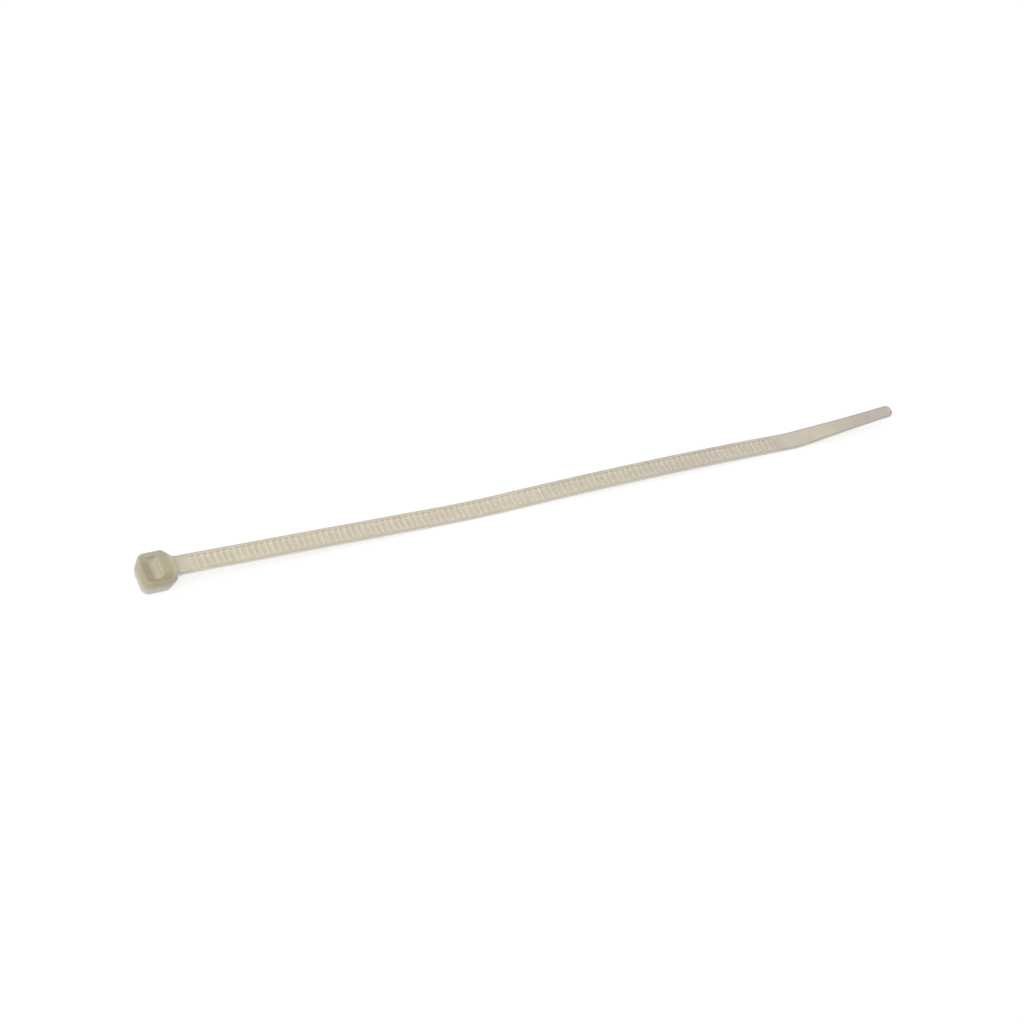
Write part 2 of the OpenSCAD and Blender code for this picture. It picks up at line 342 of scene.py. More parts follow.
class Lie:
    """Path of the strap's underside in the middle plane, in millimetres, from the head's outer end."""

    def __init__(self):
        strap, head, lie = sizes("tie_strap"), sizes("tie_head"), sizes("tie_lie")
        self.length = strap.length / MM
        self.head_length = head.length / MM
        self.start_x = -(head.slot_length / 2 + head.outer_wall) / MM
        self.root_z = (head.height - head.face_step - strap.thickness) / MM
        root, table, kink = lie.root_radius / MM, lie.table_radius / MM, lie.kink_radius / MM
        drop, arch, tail = lie.drop_angle, lie.arch_angle, lie.tail_angle
        fall = (root + table) * (1 - math.cos(drop))
        slope = (self.root_z - fall) / math.sin(drop)
        settle = (table - kink) * (1 - math.cos(arch)) / math.sin(arch)
        raised = lie.raised_length / MM
        bends = [root * drop, table * (drop + arch), kink * (arch + tail)]
        arch_length = self.length - self.head_length - raised - settle - slope - sum(bends)
        self.pieces = [
            (self.head_length, 0),
            (bends[0], -drop),
            (slope, 0),
            (bends[1], drop + arch),
            (arch_length, -2 * arch),
            (settle, 0),
            (bends[2], arch + tail),
            (raised, 0),
        ]
        self.marks = self.points(0.25)
        self.far = [0.0]
        for one, other in zip(self.marks, self.marks[1:]):
            self.far.append(self.far[-1] + math.dist(one, other))

    def points(self, step):
        """Points along the path, no further apart than a step."""
        x, z, slope = self.start_x, self.root_z, 0.0
        found = [(x, z)]
        for length, turn in self.pieces:
            count = max(1, math.ceil(length / step))
            for _ in range(count):
                share, bend = length / count, turn / count
                chord = share if bend == 0 else share * math.sin(bend / 2) / (bend / 2)
                x += chord * math.cos(slope + bend / 2)
                z += chord * math.sin(slope + bend / 2)
                slope += bend
                found.append((x, z))
        return found

    def stretch(self, low):
        """Distance, place and direction of the short stretch after a mark."""
        low = max(0, min(len(self.marks) - 2, low))
        (x1, z1), (x2, z2) = self.marks[low], self.marks[low + 1]
        size = self.far[low + 1] - self.far[low]
        return self.far[low], x1, z1, (x2 - x1) / size, (z2 - z1) / size

    def place(self, along, height):
        """Point in the middle plane at a distance along the path and a height above it."""
        far, x, z, run, rise = self.stretch(bisect.bisect_left(self.far, along) - 1)
        on = along - far
        return Vector((x + on * run - height * rise, 0, z + on * rise + height * run))

    def measure(self, x, z):
        """Distance along the path and height above it of a point in the middle plane."""
        far, x1, z1, run, rise = self.stretch(bisect.bisect_left(self.marks, (x, 0.0)) - 1)
        along = (x - x1) * run + (z - z1) * rise
        return far + along, (z - z1) * run - (x - x1) * rise

    def curve(self):
        """The path as a curve, for the modifier that lays the strap along it."""
        data = bpy.data.curves.new("strap_path", "CURVE")
        data.dimensions = "3D"
        data.twist_mode = "Z_UP"
        line = data.splines.new("POLY")
        places = self.points(0.5)
        line.points.add(len(places) - 1)
        for point, (x, z) in zip(line.points, places):
            point.co = (x, 0, z, 1)
        path = bpy.data.objects.new("strap_path", data)
        bpy.context.scene.collection.objects.link(path)
        return path


# Head, slot and pawl


def head_corners(inset_side, inset_end, inset_neck=0.0, inset_face=0.0):
    """Plan corners of the head at one level, before they are rounded: outer, shoulder and neck."""
    head, lie = sizes("tie_head"), Lie()
    end = lie.start_x + head.length / MM
    side = head.width / MM / 2 - inset_side
    radius = head.shoulder_radius / MM
    first = Vector((end - head.shoulder_length / MM - radius / 2, side - radius))
    end -= inset_face
    second = Vector((end - radius, head.neck_width / MM / 2 - inset_neck - radius))
    run = (second - first).normalized()
    touch = first + radius * Vector((-run.y, run.x))
    at_side = touch + run * ((side - touch.y) / run.y)
    at_end = touch + run * ((end - touch.x) / run.x)
    return [(lie.start_x + inset_end, side), (at_side.x, side), (end, at_end.y)]


def head_plans():
    """The head's outline at its base, its parting line and its face."""
    head = sizes("tie_head")
    height, parting = head.height / MM, head.parting_height / MM
    side_draft, end_draft = head.side_draft / MM, head.end_draft / MM
    levels = [
        (0, head_corners(side_draft, end_draft, inset_neck=head.neck_draft / MM)),
        (parting, head_corners(side_draft * (1 - parting / height), 0)),
        (height, head_corners(0, end_draft, inset_face=head.face_draft / MM)),
    ]
    plans = []
    for z, corners in levels:
        far_side = [Vector((x, y, z)) for x, y in corners]
        near_side = [Vector((x, -y, z)) for x, y in reversed(corners)]
        plans.append(far_side + near_side)
    return plans


def model_head():
    """The head's block: its plan is extruded level by level, then its corners and rims are rounded."""
    head, plans = sizes("tie_head"), head_plans()
    height, parting = head.height / MM, head.parting_height / MM
    piece = flat_piece("head", plans[0])
    edit(piece)
    bpy.ops.mesh.select_all(action="SELECT")
    for below, plan in zip(plans, plans[1:]):
        extrude(z=1)
        mesh = bmesh.from_edit_mesh(piece.data)
        for vertex in mesh.verts:
            if vertex.select:
                distances = [(corner.xy - vertex.co.xy).length for corner in below]
                vertex.co = plan[distances.index(min(distances))]
        bmesh.update_edit_mesh(piece.data)
    bpy.ops.mesh.select_all(action="SELECT")
    bpy.ops.mesh.normals_make_consistent(inside=False)

    def upright(edge):
        return abs(edge.verts[0].co.z - edge.verts[1].co.z) > 0.5

    def on_rim(edge):
        return not upright(edge) and all(near(v.co.z, height) or near(v.co.z, 0) for v in edge.verts)

    # The shoulders' corners are blunt, so their bevel is narrower than their radius
    shoulder_bevel = 0.42 * head.shoulder_radius / MM
    pick(piece, "EDGE", lambda e: upright(e) and middle(e).x < 0)
    bevel(head.corner_radius / MM, 8)
    pick(piece, "EDGE", lambda e: upright(e) and middle(e).x > 0)
    bevel(shoulder_bevel, 5)
    pick(piece, "EDGE", lambda e: all(near(v.co.z, parting) for v in e.verts))
    bevel(PARTING_EDGE, 2)
    pick(piece, "EDGE", on_rim)
    bevel(head.rim_radius / MM, 5)
    leave()
    return piece


def slot_places():
    """Places of the slot, the pawl and the room behind it, along X and up, in millimetres."""
    head = sizes("tie_head")
    lip = head.slot_length / MM / 2
    hinge_back = lip + head.hinge_thickness / MM
    return {
        "lip": lip,
        "hinge": (head.height - head.lip_height) / MM,
        "hinge_back": hinge_back,
        "room": hinge_back + head.spring_room / MM,
    }


def cut_slot(piece):
    """Cuts the slot, the room behind the pawl and the lead-in slopes, and softens their rims."""
    head, place = sizes("tie_head"), slot_places()
    height, hinge, lip, room = head.height / MM, place["hinge"], place["lip"], place["room"]
    thin, width = head.hinge_thickness / MM, head.slot_width / MM
    opening = [
        (-lip, -CUTTER_PAST),
        (room, -CUTTER_PAST),
        (room, hinge - thin),
        (room - thin, hinge),
        (lip, hinge),
        (lip, height + CUTTER_PAST),
        (-lip, height + CUTTER_PAST),
    ]
    boolean(piece, profile_piece("slot_cutter", opening, width), "DIFFERENCE")
    lead, deep = head.lead_in / MM, head.lead_in_height / MM
    funnel = cube_piece("lead_in_cutter", (0, 0, height - deep / 2), (2 * lip, width, deep))
    edit(funnel)
    pick(funnel, "FACE", lambda f: f.normal.z > 0.9)
    bpy.ops.transform.resize(value=((lip + lead) / lip, (width / 2 + lead) / (width / 2), 1))
    extrude(z=CUTTER_PAST)
    leave()
    boolean(piece, funnel, "DIFFERENCE")
    edit(piece, "EDGE")

    reach_x, reach_y = lip + lead + PICK_ROOM, width / 2 + lead + PICK_ROOM

    def at_entry(vertex):
        x, y, z = vertex.co
        return abs(x) < reach_x and abs(y) < reach_y and near(z, height)

    pick(piece, "EDGE", lambda e: all(at_entry(v) for v in e.verts))
    bevel(ENTRY_EDGE, 3)
    leave()


def model_pawl():
    """The pawl on its living hinge, with its teeth facing the strap's."""
    strap, head, place = sizes("tie_strap"), sizes("tie_head"), slot_places()
    lip, hinge, back = place["lip"], place["hinge"], place["hinge_back"]
    crest = (strap.thickness - strap.crest_drop) / MM
    reach = -lip + crest - head.pawl_bite / MM
    root = reach + strap.tooth_depth / MM
    tip, thin = head.pawl_tip_height / MM, head.hinge_thickness / MM
    body = root + head.pawl_thickness / MM
    grip = hinge + head.lip_height / MM / 3
    points = [(lip, grip), (lip, hinge)]
    for tooth in (1, 0):
        z = tip + tooth * strap.tooth_pitch / MM
        points += [(reach, z + PAWL_TOOTH_LAND), (reach, z), (root, z - PAWL_TOOTH_SLOPES[tooth])]
    points += [(body - PAWL_CHAMFER, tip - PAWL_CHAMFER), (body, tip), (back, hinge - thin), (back, grip)]
    width = (strap.width - 2 * strap.rail_width - 2 * head.pawl_side_gap) / MM
    piece = profile_piece("pawl", points, width)
    modifier = piece.modifiers.new("Rounding", "BEVEL")
    modifier.width = PAWL_EDGE
    modifier.segments = 2
    modifier.limit_method = "ANGLE"
    modifier.angle_limit = math.radians(25)
    apply_modifier(piece, modifier)
    return piece


# Strap


def tooth_count():
    """Whole teeth that fit between the head and the tail."""
    strap, head = sizes("tie_strap"), sizes("tie_head")
    toothed = strap.length - strap.tail_length - head.length - strap.ladder_gap
    return math.floor(toothed / strap.tooth_pitch + 1e-6)


def ladder_half():
    """Half the ladder's width in millimetres, from the middle to a rail."""
    strap = sizes("tie_strap")
    return strap.width / MM / 2 - strap.rail_width / MM


def link_start():
    """Place half way down a ramp, where a link starts, in millimetres from the valley after it."""
    return CREST_END / 2 - sizes("tie_strap").tooth_pitch / MM / 2


def model_link():
    """One pitch of the strap, open at both ends, from half way down one ramp to half way down the next."""
    strap, inner, first = sizes("tie_strap"), ladder_half(), link_start()
    pitch, width, thick = strap.tooth_pitch / MM, strap.width / MM, strap.thickness / MM
    crest = thick - strap.crest_drop / MM
    depth = strap.tooth_depth / MM
    tooth = (0, CREST_START, CREST_END)
    piece = cube_piece("strap", (first + pitch / 2, 0, thick / 2), (pitch, width, thick))
    edit(piece)
    pick(piece, "FACE", lambda f: abs(f.normal.x) > 0.9)
    bpy.ops.mesh.delete(type="ONLY_FACE")
    cuts = [((x, 0, 0), (1, 0, 0)) for x in tooth] + [((0, y, 0), (0, 1, 0)) for y in (-inner, inner)]
    for place, normal in cuts:
        bpy.ops.mesh.select_all(action="SELECT")
        bpy.ops.mesh.bisect(plane_co=place, plane_no=normal, threshold=1e-5)
    pick(piece, "FACE", lambda f: f.normal.z > 0.9 and abs(f.calc_center_median().y) < inner)
    extrude(z=crest - thick)
    pick(piece, "FACE", lambda f: abs(f.normal.x) > 0.9)
    bpy.ops.mesh.delete(type="ONLY_FACE")
    half = crest - depth * (first + pitch - CREST_END) / (pitch - CREST_END)

    def on_ladder(vertex):
        return near(vertex.co.z, crest) and abs(vertex.co.y) < inner + PICK_ROOM

    for x, z in ((0, crest - depth), (first, half), (first + pitch, half)):
        pick(piece, "VERT", lambda v: near(v.co.x, x) and on_ladder(v))
        bpy.ops.transform.translate(value=(0, 0, z - crest))

    def across(edge):
        return not near(edge.verts[0].co.y, edge.verts[1].co.y)

    def along(edge):
        return not across(edge) and not near(edge.verts[0].co.x, edge.verts[1].co.x)

    def on_tooth(edge):
        place = middle(edge)
        return near(place.y, 0) and not near(place.z, 0) and any(near(place.x, x) for x in tooth)

    pick(piece, "EDGE", lambda e: across(e) and on_tooth(e))
    bevel(TOOTH_EDGE, 2)
    for side, level, radius, segments in (
        (width / 2, 0, strap.back_radius / MM, 5),
        (width / 2, thick, strap.rail_radius / MM, 3),
        (inner, thick, LADDER_EDGE, 2),
    ):
        pick(piece, "EDGE", lambda e: along(e) and near(abs(middle(e).y), side) and near(middle(e).z, level))
        bevel(radius, segments)
    leave()
    return piece


def level_ladder(piece, start, end):
    """Fades the ladder in and out, and fills it flush beyond its first and last teeth."""
    strap, inner = sizes("tie_strap"), ladder_half()
    pitch, thick = strap.tooth_pitch / MM, strap.thickness / MM
    crest = thick - strap.crest_drop / MM
    count, fade = tooth_count(), strap.fade_teeth
    last_valley = crest - strap.tooth_depth / MM / fade
    before, beyond, ladder = start - 0.3, end + 0.06, inner + 0.1
    for vertex in piece.data.vertices:
        x, y, z = vertex.co
        if abs(y) > ladder or z < TOOTHED_SIDE:
            continue
        if x < before:
            vertex.co.z = thick
        elif x > beyond:
            ramp = last_valley + (thick - last_valley) * min(1, (x - end) / FILLED_RUN)
            vertex.co.z = max(ramp, z) if z > crest + LEVEL_TOLERANCE else ramp
        elif z < crest + LEVEL_TOLERANCE:
            valley = round((x - start) / pitch)
            share = min(1, (valley + 1) / fade, (count + 1 - valley) / fade)
            vertex.co.z = crest - (crest - z) * share


def taper_share(along):
    """Share of the tail's narrowing that is done at a distance from the head's outer end."""
    strap = sizes("tie_strap")
    taper = strap.taper_length / MM
    start = (strap.length - strap.tip_width / 2) / MM - taper
    share = max(0.0, min(1.0, (along - start) / taper))
    return 1 - (1 - share) ** strap.taper_bow


def extend(piece, x, steps):
    """Extrudes the strap's open ring at x from step to step, then closes it.

    Each step is a place along the strap, a share of the strap's width and a share of its thickness.
    """
    pick(piece, "VERT", lambda v: near(v.co.x, x, 2e-3))
    at, wide, thick = x, 1.0, 1.0
    for place, next_wide, next_thick in steps:
        extrude(x=place - at)
        if next_wide != wide:
            bpy.ops.transform.resize(value=(1, next_wide / wide, 1), center_override=(0, 0, 0))
        if next_thick != thick:
            thinner = (1, 1, next_thick / thick)
            bpy.ops.transform.resize(value=thinner, center_override=(0, 0, THINNING_HEIGHT))
        at, wide, thick = place, next_wide, next_thick
    bpy.ops.mesh.edge_face_add()


def extend_tail(piece, x):
    """Extrudes the smooth tail from the last tooth: straight, tapered, then round at its tip."""
    strap = sizes("tie_strap")
    length, radius, taper = strap.length / MM, strap.tip_width / MM / 2, strap.taper_length / MM
    narrow = radius * 2 / (strap.width / MM)
    thin = strap.tip_thickness / strap.thickness
    round_start = length - radius
    taper_start = round_start - taper
    straight, tapered, rounded, last_angle = 6, 20, 16, 84
    steps = [(x + (taper_start - x) * n / straight, 1.0, 1.0) for n in range(1, straight + 1)]
    for n in range(1, tapered + 1):
        place = taper_start + taper * n / tapered
        share = taper_share(place)
        steps.append((place, 1 + (narrow - 1) * share, 1 + (thin - 1) * share))
    for n in range(1, rounded + 1):
        angle = math.radians(last_angle * n / rounded)
        place = round_start + radius * math.sin(angle)
        closing = min(1.0, (length - place) / TIP_RUN)
        nose = math.sqrt(max(0.0, 1 - (1 - closing) ** 2))
        steps.append((place, narrow * math.cos(angle), thin * (TIP_SHARE + (1 - TIP_SHARE) * nose)))
    extend(piece, x, steps)


def extend_root(piece, x):
    """Extrudes the root back into the head, thicker below and with a soft flare where they meet."""
    strap, lie = sizes("tie_strap"), Lie()
    thick, taper = strap.thickness / MM, strap.root_taper / MM
    thickening = strap.root_thickening / MM
    ring_gap, past_room, rail_level = 0.6, 0.3, thick - 0.05
    places = [x - ring_gap, x - 2 * ring_gap]
    places += [lie.head_length + beyond for beyond in ROOT_RINGS]
    places.append(slot_places()["room"] - lie.start_x + past_room)
    extend(piece, x, [(place, 1.0, 1.0) for place in places])
    leave()
    for vertex in piece.data.vertices:
        beyond = vertex.co.x - lie.head_length
        if beyond > taper:
            continue
        low = max(0.0, min(1.0, 1 - beyond / taper)) ** 2
        flare = max(0.0, min(1.0, 1 - beyond / FLARE_RUN)) ** 2
        vertex.co.y *= 1 + FLARE_WIDTH * flare
        if vertex.co.z < thick / 2:
            vertex.co.z -= thickening * low
        elif vertex.co.z > rail_level:
            vertex.co.z += FLARE_HEIGHT * flare
    edit(piece)


def model_strap():
    """The straight strap, made of one link repeated by an array, then lengthened and laid along its path."""
    strap = sizes("tie_strap")
    pitch, count = strap.tooth_pitch / MM, tooth_count()
    start = (sizes("tie_head").length + strap.ladder_gap) / MM
    piece = model_link()
    array = piece.modifiers.new("Ladder", "ARRAY")
    array.count = count + 1
    array.use_relative_offset = False
    array.use_constant_offset = True
    array.constant_offset_displace = (pitch, 0, 0)
    array.use_merge_vertices = True
    array.merge_threshold = 1e-3
    apply_modifier(piece, array)
    for vertex in piece.data.vertices:
        vertex.co.x += start
    level_ladder(piece, start, start + count * pitch)
    edit(piece)
    merge(1e-3)
    first = start + link_start()
    extend_tail(piece, first + (count + 1) * pitch)
    extend_root(piece, first)
    merge(1e-3)
    leave()
    path = Lie().curve()
    bend = piece.modifiers.new("Lie", "CURVE")
    bend.object = path
    bend.deform_axis = "POS_X"
    apply_modifier(piece, bend)
    bpy.data.objects.remove(path)
    return piece


# Nodes


def new_node(tree, kind, place, **values):
    """Adds a node at a place with some of its settings."""
    node = tree.nodes.new(kind)
    node.location = place
    for name, value in values.items():
        setattr(node, name, value)
    return node


def feed(tree, socket, value):
    """Links a socket to another one, or gives it a plain value."""
    if isinstance(value, bpy.types.NodeSocket):
        tree.links.new(value, socket)
    else:
        socket.default_value = value


def maths(tree, place, operation, *values):
    """Result of a Math node that is fed with sockets or numbers."""
    node = new_node(tree, "ShaderNodeMath", place, operation=operation)
    for socket, value in zip(node.inputs, values):
        feed(tree, socket, value)
    return node.outputs["Value"]


def product(tree, place, first, *others):
    """Product of several masks."""
    for step, other in enumerate(others):
        first = maths(tree, (place[0] + 150 * step, place[1]), "MULTIPLY", first, other)
    return first


def ranged(tree, place, value, from_min, from_max, to_min=0.0, to_max=1.0):
    """Maps one range of a value softly to another."""
    node = new_node(tree, "ShaderNodeMapRange", place, interpolation_type="SMOOTHSTEP")
    for name, given in (("Value", value), ("From Min", from_min), ("From Max", from_max)):
        feed(tree, node.inputs[name], given)
    node.inputs["To Min"].default_value = to_min
    node.inputs["To Max"].default_value = to_max
    return node.outputs["Result"]


def mixed(tree, place, share, one, other, blend="MIX"):
    """Mixes two colours by a share."""
    node = new_node(tree, "ShaderNodeMix", place, data_type="RGBA", blend_type=blend)
    feed(tree, node.inputs["Factor"], share)
    for name, colour in (("A", one), ("B", other)):
        socket = [one for one in node.inputs if one.name == name and one.type == "RGBA"][0]
        feed(tree, socket, colour)
    return [one for one in node.outputs if one.type == "RGBA"][0]


def solid(colour):
    """A colour with no transparency."""
    return (*colour, 1)


def parted(tree, place, vector):
    """X, Y and Z of a vector."""
    node = new_node(tree, "ShaderNodeSeparateXYZ", place)
    feed(tree, node.inputs["Vector"], vector)
    return node.outputs["X"], node.outputs["Y"], node.outputs["Z"]


def object_place(tree, place):
    """Place of the shaded point on the piece, in metres."""
    return new_node(tree, "ShaderNodeTexCoord", place).outputs["Object"]


def surface_normal(tree, place):
    """Direction that the surface faces."""
    return new_node(tree, "ShaderNodeNewGeometry", place).outputs["Normal"]


def marked(tree, place, name):
    """A value that was written on the piece's points."""
    return new_node(tree, "ShaderNodeAttribute", place, attribute_name=name).outputs["Fac"]


# Shared look of the nylon


def nylon_group():
    """Shared look of moulded nylon: clouded tone, painted light on paler walls, painted shade in grey rims,
    and the fine skin of the mould.
    """
    tree = bpy.data.node_groups.new("Moulded nylon", "ShaderNodeTree")
    for name, kind, value in (
        ("Colour", "NodeSocketColor", (0.57, 0.52, 0.42, 1)),
        ("Rim colour", "NodeSocketColor", (0.36, 0.34, 0.29, 1)),
        ("Wall colour", "NodeSocketColor", (0.52, 0.50, 0.41, 1)),
        ("Rim", "NodeSocketFloat", 2.0),
        ("Rim amount", "NodeSocketFloat", 0.8),
        ("Wall amount", "NodeSocketFloat", 0.6),
        ("Cloud amount", "NodeSocketFloat", 0.25),
        ("Roughness", "NodeSocketFloat", 0.42),
    ):
        socket = tree.interface.new_socket(name=name, in_out="INPUT", socket_type=kind)
        socket.default_value = value
    for name, kind in (
        ("Colour", "NodeSocketColor"),
        ("Roughness", "NodeSocketFloat"),
        ("Height", "NodeSocketFloat"),
    ):
        tree.interface.new_socket(name=name, in_out="OUTPUT", socket_type=kind)
    given = new_node(tree, "NodeGroupInput", (-1400, 0)).outputs
    place = object_place(tree, (-1400, -500))

    def noise(height, scale, detail):
        node = new_node(tree, "ShaderNodeTexNoise", (-1150, height))
        node.inputs["Scale"].default_value = scale
        node.inputs["Detail"].default_value = detail
        feed(tree, node.inputs["Vector"], place)
        return node.outputs["Fac"]

    cloud, drift, skin = noise(-300, 420, 3), noise(-100, 75, 1), noise(-550, 3800, 2)
    clouded = ranged(tree, (-900, -300), cloud, 0.3, 0.7, 0.84, 1.08)
    tinted = mixed(tree, (-650, -50), given["Cloud amount"], given["Colour"], clouded, "MULTIPLY")
    pinkish, greenish = (1.0, 0.975, 0.99, 1), (0.985, 1.0, 0.95, 1)
    warmth = mixed(tree, (-650, -250), ranged(tree, (-900, -100), drift, 0.35, 0.65), pinkish, greenish)
    toned = mixed(tree, (-450, -100), 0.8, tinted, warmth, "MULTIPLY")

    # Painted light: upright faces get the paler wall colour
    up = parted(tree, (-1150, -850), surface_normal(tree, (-1400, -800)))[2]
    upright = ranged(tree, (-650, -850), maths(tree, (-900, -850), "ABSOLUTE", up), 0.95, 0.3)
    wall_light_share = product(tree, (-450, -850), upright, given["Wall amount"])
    with_wall_light = mixed(tree, (-300, 0), wall_light_share, toned, given["Wall colour"])
    # Painted shade: a grey line along the rims
    at_rim = ranged(tree, (-900, 300), given["Rim"], 0.55, 0.1)
    rim_shade_share = product(tree, (-650, 300), at_rim, given["Rim amount"])
    with_rim_shade = mixed(tree, (-50, 100), rim_shade_share, with_wall_light, given["Rim colour"])
    sheen = ranged(tree, (-350, -400), cloud, 0.3, 0.7, -0.06, 0.08)
    result = new_node(tree, "NodeGroupOutput", (200, 0)).inputs
    feed(tree, result["Colour"], with_rim_shade)
    feed(tree, result["Roughness"], maths(tree, (-50, -300), "ADD", sheen, given["Roughness"]))
    feed(tree, result["Height"], skin)
    return tree


def nylon(name, depth, wall, amounts):
    """Natural nylon, slightly see-through and satin: the material and its look's inputs."""
    material = bpy.data.materials.new(name)
    material.use_nodes = True
    tree = material.node_tree
    look = new_node(tree, "ShaderNodeGroup", (-500, 200))
    look.node_tree = bpy.data.node_groups.get("Moulded nylon") or nylon_group()
    look.inputs["Rim colour"].default_value = solid(sizes("tie_colours").rim)
    look.inputs["Wall colour"].default_value = solid(wall)
    for socket, value in amounts.items():
        look.inputs[socket].default_value = value
    skin = new_node(tree, "ShaderNodeBump", (-250, -200))
    skin.inputs["Strength"].default_value = 0.12
    skin.inputs["Distance"].default_value = 0.00003
    feed(tree, skin.inputs["Height"], look.outputs["Height"])
    shader = tree.nodes["Principled BSDF"].inputs
    feed(tree, shader["Base Color"], look.outputs["Colour"])
    feed(tree, shader["Roughness"], look.outputs["Roughness"])
    feed(tree, shader["Normal"], skin.outputs["Normal"])
    shader["Subsurface Weight"].default_value = 1.0
    shader["Subsurface Radius"].default_value = (1.0, 0.8, 0.55)
    shader["Subsurface Scale"].default_value = depth
    shader["IOR"].default_value = 1.53
    shader["Specular IOR Level"].default_value = 0.4
    return material, look.inputs


# Strap's nylon, with distances in metres


def tip_distances(tree, place, x):
    """Distance from the middle of the round end, and how far a point lies beyond that middle."""
    strap = sizes("tie_strap")
    centre = Lie().place((strap.length - strap.tip_width / 2) / MM, strap.tip_thickness / MM) * MM
    away = new_node(tree, "ShaderNodeVectorMath", (-2100, 200), operation="DISTANCE")
    feed(tree, away.inputs[0], place)
    feed(tree, away.inputs[1], centre)
    return away.outputs["Value"], maths(tree, (-1900, -300), "SUBTRACT", x, centre.x)


def tip_painted_highlight(tree, away, outward, starts=0.0009, full=0.0007, rise=0.0006, strength=0.2):
    """Painted highlight: how much paler the round end is in a crescent along its rim."""
    radius = sizes("tie_strap").tip_width / 2
    band = ranged(tree, (-1900, 200), away, radius - starts, radius - full)
    return product(tree, (-1700, 0), band, ranged(tree, (-1900, 0), outward, 0.0, rise, 0.0, strength))


def rail_foot_painted_light(tree, side, plain, starts=0.001, full=0.0006, strength=0.16):
    """Painted light: how much paler the ladder is along the foot of each rail, where the strap has teeth."""
    inner = ladder_half() * MM
    band = ranged(tree, (-1900, -700), side, inner - starts, inner - full)
    clear = ranged(tree, (-1900, -900), side, inner - SOFT, inner - 3 * SOFT)
    toothed = maths(tree, (-1700, -700), "MULTIPLY_ADD", plain, -strength, strength)
    return product(tree, (-1700, -500), band, clear, toothed)


def steep_shade(tree, starts=0.35, full=0.9, strength=0.1):
    """How much darker the nylon is on faces that look along the strap."""
    x = parted(tree, (-1700, 1000), surface_normal(tree, (-1900, 1000)))[0]
    return ranged(tree, (-1300, 1000), maths(tree, (-1500, 1000), "ABSOLUTE", x), starts, full, 0, strength)


def rim_distance(tree, away, outward, share=0.6):
    """Distance from the upper edge in millimetres, which the round end adds to the points' own value."""
    radius = sizes("tie_strap").tip_width / 2
    inside = maths(tree, (-1900, 500), "MULTIPLY_ADD", away, -share / MM, share * radius / MM)
    inside = maths(tree, (-1500, 600), "MAXIMUM", inside, 0.0)
    round_end = maths(tree, (-1700, 500), "GREATER_THAN", outward, 0.0)
    return maths(tree, (-1300, 600), "MULTIPLY_ADD", inside, round_end, marked(tree, (-1700, 700), "rim"))


def strap_material():
    """Thin nylon, with painted light that makes it brightest in the valleys between the teeth and a painted
    highlight in a crescent inside the tip.
    """
    colours, inner = sizes("tie_colours"), ladder_half() * MM
    material, look = nylon("Nylon strap", 0.0005, colours.wall, {})
    tree = material.node_tree
    place = object_place(tree, (-2300, 0))
    x, y, _ = parted(tree, (-2100, -300), place)
    side = maths(tree, (-1900, -500), "ABSOLUTE", y)
    away, outward = tip_distances(tree, place, x)
    tone, plain = marked(tree, (-1700, 300), "tone"), marked(tree, (-1900, -1300), "plain")
    # The written tone, with its painted light in the valleys, plus the tip's painted highlight, painted light
    # along the rails' feet and painted shade on the steep faces
    paler = maths(tree, (-1500, 200), "ADD", tone, tip_painted_highlight(tree, away, outward))
    paler = maths(tree, (-1300, 200), "ADD", paler, rail_foot_painted_light(tree, side, plain))
    paler = maths(tree, (-1100, 200), "SUBTRACT", paler, steep_shade(tree))
    feed(tree, look["Colour"], mixed(tree, (-800, 300), paler, solid(colours.strap), solid(colours.valley)))

    # Painted shade in a grey line along the edges, and painted light on the upright walls
    edge_shade_amount, plain_edge_shade, wall_light_amount, inner_wall_light = 0.5, 0.25, 0.65, 0.75
    feed(tree, look["Rim"], rim_distance(tree, away, outward))
    feed(tree, look["Rim amount"], maths(tree, (-800, 0), "MULTIPLY_ADD", plain, plain_edge_shade, edge_shade_amount))
    # Painted light: upright faces outside the ladder get the paler wall colour in full, those within it in
    # part
    outside = ranged(tree, (-1700, -1100), side, inner + SOFT, inner + 3 * SOFT, inner_wall_light, 1.0)
    wall_light_share = maths(tree, (-1500, -1000), "MAXIMUM", outside, plain)
    feed(tree, look["Wall amount"], maths(tree, (-1300, -1000), "MULTIPLY", wall_light_amount, wall_light_share))
    return material


# Head's nylon, with distances in metres


def from_outline(tree, x, side, blend=0.0006):
    """Distance from the nearest side of the head's outline, softened where two sides meet."""
    head = sizes("tie_head")
    start = -head.slot_length / 2 - head.outer_wall
    rise, run = head.width / 2 - head.neck_width / 2, head.shoulder_length
    slant = math.hypot(rise, run)
    from_end = maths(tree, (-1800, 300), "SUBTRACT", x, start)
    from_side = maths(tree, (-1800, 100), "SUBTRACT", head.width / 2, side)
    from_strap = maths(tree, (-1800, -100), "SUBTRACT", start + head.length, x)
    neck = head.neck_width / 2 * run / slant
    from_neck = maths(tree, (-1800, -300), "MULTIPLY_ADD", side, -run / slant, neck)
    from_shoulder = maths(tree, (-1600, -200), "MULTIPLY_ADD", from_strap, rise / slant, from_neck)
    nearest = maths(tree, (-1400, 200), "SMOOTH_MIN", from_end, from_side, blend)
    return maths(tree, (-1200, 100), "SMOOTH_MIN", nearest, from_shoulder, blend)


